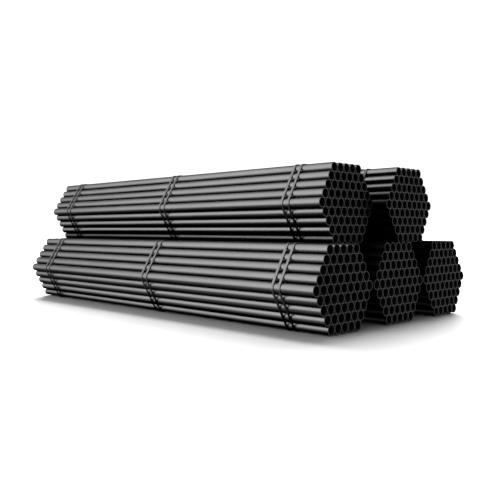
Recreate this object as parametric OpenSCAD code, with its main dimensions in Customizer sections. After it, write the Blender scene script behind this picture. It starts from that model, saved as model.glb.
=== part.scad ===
// A stack of steel tubes: five hexagonal bundles, three on the floor side by side
// and two on top of them, lying in the valleys between the lower three.
// X runs along the tubes, with +X towards the near ends, where the lower bundles
// stand out furthest. -Y is the front long side and Z is up. The undersides of the
// lower straps lie at Z = 0. All sizes are in millimetres.

/* [Tube] */
// outside diameter
tube_od = 60.3; // [20:0.1:170]
// wall thickness
tube_wall = 3.6; // [1.5:0.1:12]
// length of every tube
tube_len = 3000; // [2000:10:12000]

/* [Bundle] */
// side of the hexagon, counted in tubes
side_n = 5; // [3:1:7]
// clear gap between neighbouring tubes
tube_gap = 0.3; // [0.2:0.05:1]

/* [Straps] */
// width of a strap, along the tubes
strap_w = 16; // [10:1:32]
// thickness of a strap
strap_t = 4; // [0.5:0.1:6]
// clear gap between a strap and what it lies against
strap_gap = 0.3; // [0.2:0.05:0.5]
// distance between the middles of the two straps of a pair
strap_pair = 50; // [40:1:100]
// middle of the near and far pairs, measured from the ends of the tubes
strap_end = 256; // [120:1:450]
// how far the middle pair lies from half length, towards the near end
strap_mid_off = 60; // [-60:1:60]

/* [Stack] */
// clear gap between the straps of neighbouring lower bundles
bundle_gap = 4.3; // [0.5:0.1:20]
// clear gap along X from a strap pair of the lower bundles to one of the front upper bundle
apart_front = 104; // [2:1:150]
// the same for the back upper bundle
apart_back = 14; // [2:1:150]

/* [Hidden] */
$fn = 96;

tube_r = tube_od / 2;
tube_pitch = tube_od + tube_gap;
row_h = tube_pitch * sqrt(3) / 2;
// rows above and below the widest one
half = side_n - 1;
// from the middle of a bundle to its corner tubes
corner = half * tube_pitch;

// where a strap bends round a corner tube, its inner and outer radius
bend_in = tube_r + strap_gap;
bend_out = bend_in + strap_t;
// flats that make up a bend
bend_steps = 8;

// between the middles of neighbouring bundles
bundle_pitch = 2 * (corner + bend_out) + bundle_gap;
low_z = bend_out + half * row_h;
// an end tube of an upper bundle's lowest row and the end tube of a lower bundle's
// top row are this far apart, with one strap and its two clear gaps between them
rest_d = tube_od + strap_t + 2 * strap_gap;
rest_y = bundle_pitch / 2 - corner;
rest_z = sqrt(rest_d * rest_d - rest_y * rest_y);
top_z = low_z + 2 * half * row_h + rest_z;

// set-backs of the upper bundles from the near ends of the lower ones, which keep the
// upper strap pairs clear of the lower ones
back_front = strap_pair + strap_w + apart_front;
back_back = strap_pair + strap_w + apart_back;
// near ends, with the middle of the whole stack at X = 0
low_x = (tube_len + max(back_front, back_back)) / 2;
front_x = low_x - back_front;
back_x = low_x - back_back;

tube_col = [0.34, 0.34, 0.35];
strap_col = [0.42, 0.42, 0.43];

tubes_low_front();
tubes_low_mid();
tubes_low_back();
tubes_top_front();
tubes_top_back();
straps_low_front();
straps_low_mid();
straps_low_back();
straps_top_front();
straps_top_back();

module tubes_low_front() color(tube_col) tubes_at([low_x, -bundle_pitch, low_z]);
module tubes_low_mid() color(tube_col) tubes_at([low_x, 0, low_z]);
module tubes_low_back() color(tube_col) tubes_at([low_x, bundle_pitch, low_z]);
module tubes_top_front() color(tube_col) tubes_at([front_x, -bundle_pitch / 2, top_z]);
module tubes_top_back() color(tube_col) tubes_at([back_x, bundle_pitch / 2, top_z]);

module straps_low_front() color(strap_col) straps_at([low_x, -bundle_pitch, low_z]);
module straps_low_mid() color(strap_col) straps_at([low_x, 0, low_z]);
module straps_low_back() color(strap_col) straps_at([low_x, bundle_pitch, low_z]);
module straps_top_front() color(strap_col) straps_at([front_x, -bundle_pitch / 2, top_z]);
module straps_top_back() color(strap_col) straps_at([back_x, bundle_pitch / 2, top_z]);

// the tubes of one bundle; at is the middle of its near end
module tubes_at(at) {
    for (row = [-half : half]) {
        last = 2 * half - abs(row);
        for (i = [0 : last])
            translate(at + [0, (i - last / 2) * tube_pitch, row * row_h]) tube();
    }
}

// one tube, from its near end at the origin towards -X
module tube() {
    rotate([0, -90, 0])
        difference() {
            cylinder(r = tube_r, h = tube_len);
            translate([0, 0, -1]) cylinder(r = tube_r - tube_wall, h = tube_len + 2);
        }
}

// the three pairs of straps of one bundle; at is the middle of its near end
module straps_at(at) {
    for (back = [strap_end, tube_len / 2 - strap_mid_off, tube_len - strap_end])
        for (side = [-1, 1])
            translate(at - [back + side * strap_pair / 2, 0, 0]) strap();
}

// one flat strap round a bundle, bent round its six corner tubes
module strap() {
    rotate([90, 0, 90])
        translate([0, 0, -strap_w / 2])
            difference() {
                linear_extrude(strap_w) polygon(around(bend_out));
                translate([0, 0, -1]) linear_extrude(strap_w + 2) polygon(around(bend_in));
            }
}

// points round a bundle, at distance r from the middles of its corner tubes
function around(r) = [
    for (k = [0 : 5], j = [0 : bend_steps])
        let (a = 60 * k - 30 + 60 * j / bend_steps)
            [corner * cos(60 * k) + r * cos(a), corner * sin(60 * k) + r * sin(a)]
];
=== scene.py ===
import bpy
import math
import numpy as np
from mathutils import Matrix, Vector


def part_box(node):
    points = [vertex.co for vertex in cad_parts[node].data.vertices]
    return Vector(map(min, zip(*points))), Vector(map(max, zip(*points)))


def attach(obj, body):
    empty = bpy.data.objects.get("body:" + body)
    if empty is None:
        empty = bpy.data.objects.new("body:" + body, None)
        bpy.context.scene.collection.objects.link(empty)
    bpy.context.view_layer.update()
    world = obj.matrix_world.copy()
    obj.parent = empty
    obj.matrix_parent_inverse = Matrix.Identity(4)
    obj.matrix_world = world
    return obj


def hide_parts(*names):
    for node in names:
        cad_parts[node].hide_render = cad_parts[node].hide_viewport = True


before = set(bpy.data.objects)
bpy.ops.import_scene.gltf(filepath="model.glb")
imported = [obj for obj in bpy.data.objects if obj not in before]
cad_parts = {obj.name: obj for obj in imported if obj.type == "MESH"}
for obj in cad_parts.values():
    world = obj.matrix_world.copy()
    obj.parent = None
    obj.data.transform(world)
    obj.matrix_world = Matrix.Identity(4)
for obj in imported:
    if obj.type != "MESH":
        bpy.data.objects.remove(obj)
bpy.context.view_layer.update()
rng = np.random.default_rng(61)
bundles = ["low_front", "low_mid", "low_back", "top_front", "top_back"]


class Sock:
    # an output socket that can be used in sums: each operator adds one Math node
    def __init__(self, nt, out):
        self.nt = nt
        self.out = out

    def op(self, kind, *values):
        node = self.nt.nodes.new("ShaderNodeMath")
        node.operation = kind
        for i, value in enumerate(values):
            if isinstance(value, Sock):
                self.nt.links.new(value.out, node.inputs[i])
            else:
                node.inputs[i].default_value = value
        return Sock(self.nt, node.outputs[0])

    def __add__(self, other):
        return self.op("ADD", self, other)

    def __radd__(self, other):
        return self.op("ADD", other, self)

    def __sub__(self, other):
        return self.op("SUBTRACT", self, other)

    def __rsub__(self, other):
        return self.op("SUBTRACT", other, self)

    def __mul__(self, other):
        return self.op("MULTIPLY", self, other)

    def __rmul__(self, other):
        return self.op("MULTIPLY", other, self)

    def __truediv__(self, other):
        return self.op("DIVIDE", self, other)

    def __rtruediv__(self, other):
        return self.op("DIVIDE", other, self)

    def __pow__(self, other):
        return self.op("POWER", self, other)

    def __rpow__(self, other):
        return self.op("POWER", other, self)

    def clip(self):
        return self.op("MAXIMUM", self.op("MINIMUM", self, 1.0), 0.0)

    def over(self, low, high):
        # 0 at low and below it, 1 at high and above it
        return ((self - low) / (high - low)).clip()


class Tree:
    # a node tree: add() makes any other node, from its type, its settings and its inputs
    def __init__(self, nt):
        self.nt = nt

    def add(self, kind, settings=None, inputs=None, out=0):
        node = self.nt.nodes.new(kind)
        for key, value in (settings or {}).items():
            setattr(node, key, value)
        for key, value in (inputs or {}).items():
            if isinstance(value, Sock):
                self.nt.links.new(value.out, node.inputs[key])
            else:
                node.inputs[key].default_value = value
        return Sock(self.nt, node.outputs[out])


class Finish(Tree):
    # a material on one Principled shader
    def __init__(self, name):
        self.mat = bpy.data.materials.new(name)
        self.mat.use_nodes = True
        super().__init__(self.mat.node_tree)
        self.shader = self.nt.nodes["Principled BSDF"]

    def put(self, **inputs):
        # Base_Color=... sets or links the socket Base Color
        for key, value in inputs.items():
            socket = self.shader.inputs[key.replace("_", " ")]
            if isinstance(value, Sock):
                self.nt.links.new(value.out, socket)
            else:
                socket.default_value = value

    def noise(self, along, across, up, detail, rough=0.5):
        # noise on object coordinates, 0 to 1 and mostly near a half, with so many features to
        # the metre along X, Y and Z
        place = self.add("ShaderNodeTexCoord", out="Object")
        place = self.add("ShaderNodeMapping", inputs={"Vector": place, "Scale": (along, across, up)})
        settings = {"Vector": place, "Scale": 1.0, "Detail": detail, "Roughness": rough}
        return self.add("ShaderNodeTexNoise", inputs=settings)

    def painted(self, attribute):
        # a value stored on the mesh, vertex by vertex
        return self.add("ShaderNodeAttribute", {"attribute_name": attribute}, out="Fac")

    def blend(self, amount, first, second):
        # from the first colour or grey to the second as amount goes from 0 to 1
        first, second = (v if isinstance(v, Sock) else (v, v, v, 1) for v in (first, second))
        return self.add("ShaderNodeMix", {"data_type": "RGBA"}, {0: amount, 6: first, 7: second}, out=2)

    def bump(self, height):
        # height in metres
        return self.add("ShaderNodeBump", inputs={"Height": height, "Strength": 1.0, "Distance": 1.0})


def loopFaces(loops, rings, around):
    # quads between neighbouring rings of points, closed both ways, for each of the loops:
    # ring i, point j has number (loop * rings + i) * around + j
    loop, i, j = np.meshgrid(np.arange(loops), np.arange(rings), np.arange(around), indexing="ij")
    base = loop * rings
    nextI = (i + 1) % rings
    nextJ = (j + 1) % around
    quad = [(base + i, j), (base + nextI, j), (base + nextI, nextJ), (base + i, nextJ)]
    return np.stack([ring * around + point for ring, point in quad], -1).reshape(-1, 4)


def makeMesh(name, verts, faces):
    # a new object from arrays of points and of faces, whose faces all have as many corners
    mesh = bpy.data.meshes.new(name)
    mesh.vertices.add(len(verts))
    mesh.vertices.foreach_set("co", verts.astype(np.float32).ravel())
    mesh.loops.add(faces.size)
    mesh.loops.foreach_set("vertex_index", faces.astype(np.int32).ravel())
    mesh.polygons.add(len(faces))
    mesh.polygons.foreach_set("loop_start", np.arange(len(faces), dtype=np.int32) * faces.shape[1])
    mesh.update(calc_edges=True)
    mesh.validate()
    thing = bpy.data.objects.new(name, mesh)
    bpy.context.scene.collection.objects.link(thing)
    return thing


def smoothAlong(mesh, lineOf):
    # smooth shading, but sharp on the edges whose two vertices lie on the same line:
    # lineOf gives each vertex number's line
    mesh.polygons.foreach_set("use_smooth", np.ones(len(mesh.polygons), bool))
    ends = np.empty(len(mesh.edges) * 2, np.int32)
    mesh.edges.foreach_get("vertices", ends)
    line = lineOf(ends.reshape(-1, 2))
    sharp = mesh.attributes.new("sharp_edge", "BOOLEAN", "EDGE")
    sharp.data.foreach_set("value", line[:, 0] == line[:, 1])


def paint(mesh, name, values):
    # store one number for each vertex, which a material reads by name
    mesh.attributes.new(name, "FLOAT", "POINT")
    mesh.attributes[name].data.foreach_set("value", values.astype(np.float32).ravel())


tube = {
    "outside": 0.0603,   # diameter
    "wall": 0.0036,
    "gap": 0.0003,       # between neighbours
    "side": 5,           # tubes along one side of the hexagon
    "around": 18,        # facets round a tube
    "toneSpread": 0.05,  # how much lighter or darker one tube is than the next
    "rays": 25,          # directions tried from each line of the skin
    "rayReach": 85,      # degrees, how far they lean to either side of the skin's normal
}


def tubeCentres(middleY, middleZ):
    # rows of a hexagon: row r has 2 * side - 1 - |r| tubes, a pitch apart and centred,
    # and lies r * sqrt(3) / 2 pitches above the middle
    pitch = tube["outside"] + tube["gap"]
    half = tube["side"] - 1
    row, place = np.meshgrid(np.arange(-half, half + 1), np.arange(2 * half + 1), indexing="ij")
    count = 2 * half + 1 - np.abs(row)
    y = middleY + (place - (count - 1) / 2) * pitch
    z = middleZ + row * pitch * math.sqrt(3) / 2
    return np.stack([y, z], -1)[place < count]


def ringNormals():
    # (cos a, sin a) in Y and Z, with a going once round a tube
    angle = np.arange(tube["around"]) * 2 * math.pi / tube["around"]
    return np.stack([np.cos(angle), np.sin(angle)], -1)


def tubeSurface(nearX, farX, centres):
    # a wall section (x, radius) turned about each tube's axis:
    # point = (x, centre + radius * (cos a, sin a)), for every tube, section point and angle at once
    outer = tube["outside"] / 2
    inner = outer - tube["wall"]
    section = np.array([(nearX, outer), (farX, outer), (farX, inner), (nearX, inner)])
    verts = np.empty((len(centres), len(section), tube["around"], 3))
    verts[..., 0] = section[:, 0, None]
    verts[..., 1:] = centres[:, None, None] + section[:, 1, None, None] * ringNormals()
    return verts


def shelter(points, normals):
    # how closed in a line along the tubes is: the share of the directions in front of it,
    # across the tubes and weighted by their cosine, that meet a tube of the stack, or the
    # ground under the stack and up to a tube's width outside it.
    # A ray from p along d meets the circle of radius r round c if m = c - p has m.d > 0 and
    # |m|^2 - (m.d)^2 < r^2, and it meets the ground z = 0 at y = py - pz * dy / dz
    spread = np.radians(np.linspace(-tube["rayReach"], tube["rayReach"], tube["rays"]))
    look = np.arctan2(normals[:, 1], normals[:, 0])[:, None] + spread
    ray = np.stack([np.cos(look), np.sin(look)], -1)
    away = stack - points[:, :, None]
    along = np.einsum("tasc,arc->tasr", away, ray)
    miss = (away ** 2).sum(-1)[..., None] - along ** 2
    blocked = ((along > 0) & (miss < tube["outside"] ** 2 / 4)).any(axis=2)
    fall = np.minimum(ray[..., 1], -1e-6)  # never nought, as it divides
    landing = points[..., :1] - points[..., 1:] * ray[..., 0] / fall
    nearGround = np.abs(landing) < np.abs(stack[:, 0]).max() + tube["outside"]
    blocked |= (ray[..., 1] < 0) & nearGround
    return (blocked * np.cos(spread)).sum(-1) / np.cos(spread).sum()


def steelSkin():
    # drawn tube surface: long faint draw lines, soft blotches of scale, fine grain, and
    # painted shade, near black, wherever it is sheltered by other tubes or the ground
    look = {
        "dark": 0.08,
        "light": 0.115,
        "paintedShade": 0.006,
        "shadeFrom": 0.46,       # sheltered so much, the skin starts to take painted shade
        "shaded": 0.66,       # and so much, it is all painted shade
        "rim": (0.2, 0.2, 0.2, 1),  # tint of the steel at a glancing angle
        "roughLow": 0.28,
        "roughHigh": 0.40,
        # each noise: features to the metre along, across and up, detail, roughness
        "blotch": (3, 16, 16, 4, 0.55),
        "lines": (1.2, 260, 260, 3, 0.6),
        "grain": (420, 900, 900, 2, 0.6),
        "specks": (70, 190, 190, 5, 0.7),
        # how much each counts towards the lighter tone
        "blotchShare": 0.9,
        "linesShare": 0.7,
        "grainShare": 0.5,
        "paleStart": 0.55,   # taken off their sum
        "ragged": 0.5,       # how much the specks fray the edge of the painted shade
        "grainDepth": 0.00003,
        "lineDepth": 0.00002,
    }
    f = Finish("steelSkin")
    blotch = f.noise(*look["blotch"])
    lines = f.noise(*look["lines"])
    grain = f.noise(*look["grain"])
    specks = f.noise(*look["specks"])
    pale = blotch * look["blotchShare"] + lines * look["linesShare"] + grain * look["grainShare"]
    pale = pale - look["paleStart"] + f.painted("tone")
    # painted shade: the more the skin is closed in by tubes or the ground, the nearer its colour goes
    # to black
    shaded = f.painted("shelter").over(look["shadeFrom"], look["shaded"])
    shaded = shaded + specks * look["ragged"] - look["ragged"] / 2
    # two noises near a half add up to about one, so a half comes off again
    rough = (blotch + specks - 0.5).clip() * (look["roughHigh"] - look["roughLow"]) + look["roughLow"]
    steel = f.blend(pale.clip(), look["dark"], look["light"])
    # base colour blends from the steel to the near-black painted shade
    f.put(Base_Color=f.blend(shaded.clip(), steel, look["paintedShade"]), Metallic=1.0)
    f.put(Roughness=rough, Specular_Tint=look["rim"])
    f.put(Normal=f.bump((grain + specks) * look["grainDepth"] + lines * look["lineDepth"]))
    return f.mat


def cutEnd():
    # sawn end: plain steel with fine saw marks across it
    look = {
        "dark": 0.06,
        "light": 0.13,
        "marks": (40, 60, 1500, 2),
        "stain": (90, 90, 90, 3, 0.6),
        "stainShare": 0.7,
        "marksShare": 0.3,
        "roughLow": 0.3,
        "roughSpread": 0.2,
        "markDepth": 0.00004,
    }
    f = Finish("cutEnd")
    marks = f.noise(*look["marks"])
    stain = f.noise(*look["stain"])
    pale = stain * look["stainShare"] + marks * look["marksShare"]
    f.put(Base_Color=f.blend(pale, look["dark"], look["light"]), Metallic=1.0)
    f.put(Roughness=stain * look["roughSpread"] + look["roughLow"])
    f.put(Normal=f.bump(marks * look["markDepth"]))
    return f.mat


def boreScaleAndShade():
    # inside: unpolished dark mill scale, its colour taken down to nearly black as painted shade for the
    # bore
    look = {
        "dark": 0.001,
        "light": 0.004,
        "scale": (25, 120, 120, 5, 0.65),
        "roughLow": 0.6,
        "roughSpread": 0.25,
        "gloss": 0.05,
        "scaleDepth": 0.0001,
    }
    f = Finish("boreScaleAndShade")
    scale = f.noise(*look["scale"])
    # colour near black: dark mill scale and painted shade inside the bore
    f.put(Base_Color=f.blend(scale, look["dark"], look["light"]), Metallic=0.0)
    f.put(Roughness=scale * look["roughSpread"] + look["roughLow"])
    f.put(Specular_IOR_Level=look["gloss"], Normal=f.bump(scale * look["scaleDepth"]))
    return f.mat


tubeFinishes = [steelSkin(), cutEnd(), boreScaleAndShade()]
boxes = [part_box("tubes_" + name) for name in bundles]
middles = [tubeCentres((low.y + high.y) / 2, (low.z + high.z) / 2) for low, high in boxes]
stack = np.concatenate(middles)
for name, (low, high), centres in zip(bundles, boxes, middles):
    verts = tubeSurface(high.x, low.x, centres)
    count, strips, around, _ = verts.shape
    faces = loopFaces(count, strips, around)
    bundle = makeMesh("bundle_" + name, verts.reshape(-1, 3), faces)
    smoothAlong(bundle.data, lambda vertex: vertex // around)
    # strips in order: skin, far end, bore, near end
    slots = np.array([0, 1, 2, 1])[np.arange(len(faces)) // around % strips]
    bundle.data.polygons.foreach_set("material_index", slots.astype(np.int32))
    tones = rng.uniform(-1, 1, count) * tube["toneSpread"]
    paint(bundle.data, "tone", np.repeat(tones, strips * around))
    # the share of blocked directions, which the finishes turn into painted shade
    sheltered = shelter(centres[:, None] + tube["outside"] / 2 * ringNormals(), ringNormals())
    paint(bundle.data, "shelter", np.repeat(sheltered[:, None], strips, axis=1))
    for finish in tubeFinishes:
        bundle.data.materials.append(finish)
    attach(bundle, "root")
    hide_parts("tubes_" + name)
print("tubes:", len(bundles), "bundles of", count)

strap = {
    "width": 0.016,
    "thick": 0.004,
    "clear": 0.0003,     # between strap and tube
    "pair": 0.050,       # middle to middle in a pair
    "midOff": 0.060,     # from half length to the middle pair, towards +X
    "edge": 0.0005,      # broken corners of the section
    "bendSteps": 10,     # pieces in each of the six bends
    "bendTail": 0.003,   # straight bit after a bend, so that its shading stays in it
    "toneSpread": 0.06,
}


def strapSurface(x, middleY, middleZ):
    # a flat section carried round a rounded hexagon:
    # point = corner + (bend radius + height) * (cos a, sin a) + slide * (-sin a, cos a),
    # with a turning 60 degrees at each corner, and straight runs between the bends
    reach = (tube["side"] - 1) * (tube["outside"] + tube["gap"])
    inner = tube["outside"] / 2 + strap["clear"]
    w = strap["width"] / 2
    t = strap["thick"]
    e = strap["edge"]
    section = np.array([(-w, e), (-w, t - e), (e - w, t), (w - e, t),
                        (w, t - e), (w, e), (w - e, 0), (e - w, 0)])
    corners = 6
    bend = 360 / corners
    tail = strap["bendTail"]
    step = np.linspace(-bend / 2, bend / 2, strap["bendSteps"] + 1)
    turn = np.concatenate([step[:1], step, step[-1:]])
    slide = np.concatenate([[-tail], step * 0, [tail]])
    corner = np.radians(np.arange(corners) * bend).repeat(len(turn))[:, None]
    a = corner + np.radians(np.tile(turn, corners))[:, None]
    slide = np.tile(slide, corners)[:, None]
    radius = inner + section[:, 1]
    y = middleY + reach * np.cos(corner) + radius * np.cos(a) - slide * np.sin(a)
    z = middleZ + reach * np.sin(corner) + radius * np.sin(a) + slide * np.cos(a)
    facing = np.concatenate([np.cos(a), np.sin(a)], -1)
    return np.stack([np.broadcast_to(x + section[:, 0], y.shape), y, z], -1), facing


def strapSteel():
    # flat bar: smooth rolled faces with faint lines round the bundle and cloudy patches
    look = {
        "dark": 0.08,
        "light": 0.11,
        "paintedShade": 0.006,
        "shadeFrom": 0.15,
        "shaded": 0.5,
        "rim": (0.2, 0.2, 0.2, 1),
        "roughLow": 0.34,
        "roughHigh": 0.48,
        # noises and shares as in steelSkin
        "lines": (900, 6, 6, 3, 0.6),
        "cloud": (35, 22, 22, 4, 0.6),
        "linesShare": 0.5,
        "cloudShare": 0.9,
        "paleStart": 0.2,
        "lineDepth": 0.00003,
        "cloudDepth": 0.0002,
    }
    f = Finish("strapSteel")
    lines = f.noise(*look["lines"])
    cloud = f.noise(*look["cloud"])
    pale = cloud * look["cloudShare"] + lines * look["linesShare"]
    pale = pale - look["paleStart"] + f.painted("tone")
    # painted shade: where the strap's outside is closed in by tubes or the ground, its colour goes to
    # near black
    shaded = f.painted("shelter").over(look["shadeFrom"], look["shaded"])
    steel = f.blend(pale.clip(), look["dark"], look["light"])
    f.put(Base_Color=f.blend(shaded, steel, look["paintedShade"]), Metallic=1.0)
    f.put(Roughness=cloud * (look["roughHigh"] - look["roughLow"]) + look["roughLow"])
    f.put(Specular_Tint=look["rim"])
    f.put(Normal=f.bump(lines * look["lineDepth"] + cloud * look["cloudDepth"]))
    return f.mat


strapFinish = strapSteel()
for name in bundles:
    low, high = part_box("straps_" + name)
    tubeLow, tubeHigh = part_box("tubes_" + name)
    side = strap["pair"] / 2
    inset = strap["width"] / 2 + side
    pairs = [high.x - inset, (tubeLow.x + tubeHigh.x) / 2 + strap["midOff"], low.x + inset]
    places = [x + s for x in pairs for s in (side, -side)]
    middle = ((low.y + high.y) / 2, (low.z + high.z) / 2)
    rings, facing = (np.stack(part) for part in zip(*(strapSurface(x, *middle) for x in places)))
    count, steps, around, _ = rings.shape
    faces = loopFaces(count, steps, around)
    bands = makeMesh("straps_" + name + "_bands", rings.reshape(-1, 3), faces)
    smoothAlong(bands.data, lambda vertex: vertex % around)
    tones = rng.uniform(-1, 1, count) * strap["toneSpread"]
    paint(bands.data, "tone", np.repeat(tones, steps * around))
    # section point 2 is on the strap's outside, and one strap stands for all six
    # the share of blocked directions, which the strap finish turns into painted shade
    sheltered = shelter(rings[:1, :, 2, 1:], facing[0])
    paint(bands.data, "shelter", np.tile(np.repeat(sheltered.ravel(), around), count))
    bands.data.materials.append(strapFinish)
    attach(bands, "root")
    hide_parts("straps_" + name)
print("straps:", len(bundles) * count)

stage = {
    "radius": 40.0,
    "rings": 24,
    "around": 96,
    "hub": 0.02,         # where the innermost ring lies, as u in discSurface
    "below": 0.0003,     # under the straps
    "dark": 0.115,       # low, so that the dome hardly lights it: its own lamp makes it pale
    "light": 0.12,
    "dust": (1.5, 1.5, 1.5, 3),
    "rough": 0.9,
}


def discSurface():
    # a flat disc round a hub: point = radius * u^2 * (cos a, sin a), with u from the hub to 1
    u = np.linspace(stage["hub"], 1, stage["rings"])
    a = np.arange(stage["around"]) * 2 * math.pi / stage["around"]
    r = stage["radius"] * u[:, None] ** 2
    verts = np.stack([r * np.cos(a), r * np.sin(a), np.full((len(u), len(a)), -stage["below"])], -1)
    # without the last ring of faces, which would lead from the rim back to the hub
    faces = loopFaces(1, len(u), len(a))[:-len(a)]
    return verts.reshape(-1, 3), faces


verts, faces = discSurface()
floor = makeMesh("floor", verts, faces)
floorHub = makeMesh("floorHub", verts[:stage["around"]], np.arange(stage["around"])[None])
paper = Finish("paleFloor")
dust = paper.noise(*stage["dust"])
paper.put(Base_Color=paper.blend(dust, stage["dark"], stage["light"]), Roughness=stage["rough"])
for piece in (floor, floorHub):
    piece.data.materials.append(paper.mat)
    # the floor takes the shadow, but throws no light back
    piece.visible_diffuse = False
    piece.visible_glossy = False

# a soft dome that is bright above the horizon, most of all to the front left, and dim to the
# right and behind; the camera sees plain white
dome = {
    "towards": (-0.70, -0.62, 0.05),
    "front": 5.0,
    "back": 0.6,
    "narrow": 2.0,
    "edge": (-0.38, -0.08),  # height at which the light starts, and at which it is full
    "tail": 0.18,            # share of the light that goes on fading to straight below
    "seen": 1.2,             # plain brightness that the camera sees instead
}
world = bpy.data.worlds.new("studio")
bpy.context.scene.world = world
world.use_nodes = True
sky = Tree(world.node_tree)
way = sky.add("ShaderNodeTexCoord", out="Generated")
height = sky.add("ShaderNodeSeparateXYZ", inputs={"Vector": way}, out="Z")
dot = {"operation": "DOT_PRODUCT"}
facing = sky.add("ShaderNodeVectorMath", dot, {0: way, 1: dome["towards"]}, out="Value")
# facing, the cosine of the angle from the bright side, goes from -1..1 to 0..1
level = (facing * 0.5 + 0.5) ** dome["narrow"] * (dome["front"] - dome["back"]) + dome["back"]
above = height.over(*dome["edge"]) * (1 - dome["tail"])
fade = above + height.over(-1.0, dome["edge"][0]) * dome["tail"]
seen = sky.add("ShaderNodeLightPath", out="Is Camera Ray")
strength = level * fade * (1 - seen) + seen * dome["seen"]
background = world.node_tree.nodes["Background"]
background.inputs["Color"].default_value = (1, 1, 1, 1)
world.node_tree.links.new(strength.out, background.inputs["Strength"])

# a broad lamp high behind that lights the floor only, so the stack stands in its own soft shadow
floorLamp = {"from": (-0.62, 0.75, 0.75), "spread": 60.0, "strength": 38.0}
lamp = bpy.data.lights.new("floorLamp", "SUN")
lamp.angle = math.radians(floorLamp["spread"])
lamp.energy = floorLamp["strength"]
lampObject = bpy.data.objects.new("floorLamp", lamp)
lampObject.rotation_euler = Vector(floorLamp["from"]).to_track_quat("Z", "Y").to_euler()
bpy.context.scene.collection.objects.link(lampObject)
lit = bpy.data.collections.new("litByFloorLamp")
for piece in (floor, floorHub):
    lit.objects.link(piece)
lampObject.light_linking.receiver_collection = lit

view = {
    "stand": (3.6885, -3.4740, 0.5649),
    "turn": 2.3711,      # radians round from +X
    "tilt": 0.0908,      # radians up
    "lens": 46.35,
    "shift": (0.0426, -0.1605),
    "sensor": 36,        # mm wide, and the lens is in mm too
    "reach": 200,        # how far the camera sees
}
camera = bpy.data.objects.new("camera", bpy.data.cameras.new("camera"))
bpy.context.scene.collection.objects.link(camera)
turn = Matrix.Rotation(view["turn"] - math.pi / 2, 4, "Z")
tilt = Matrix.Rotation(view["tilt"] + math.pi / 2, 4, "X")
camera.matrix_world = Matrix.Translation(view["stand"]) @ turn @ tilt
camera.data.sensor_width = view["sensor"]
camera.data.lens = view["lens"]
camera.data.shift_x, camera.data.shift_y = view["shift"]
camera.data.clip_end = view["reach"]
bpy.context.scene.camera = camera
bpy.context.scene.view_settings.view_transform = "Standard"
print("stage, light and camera set")
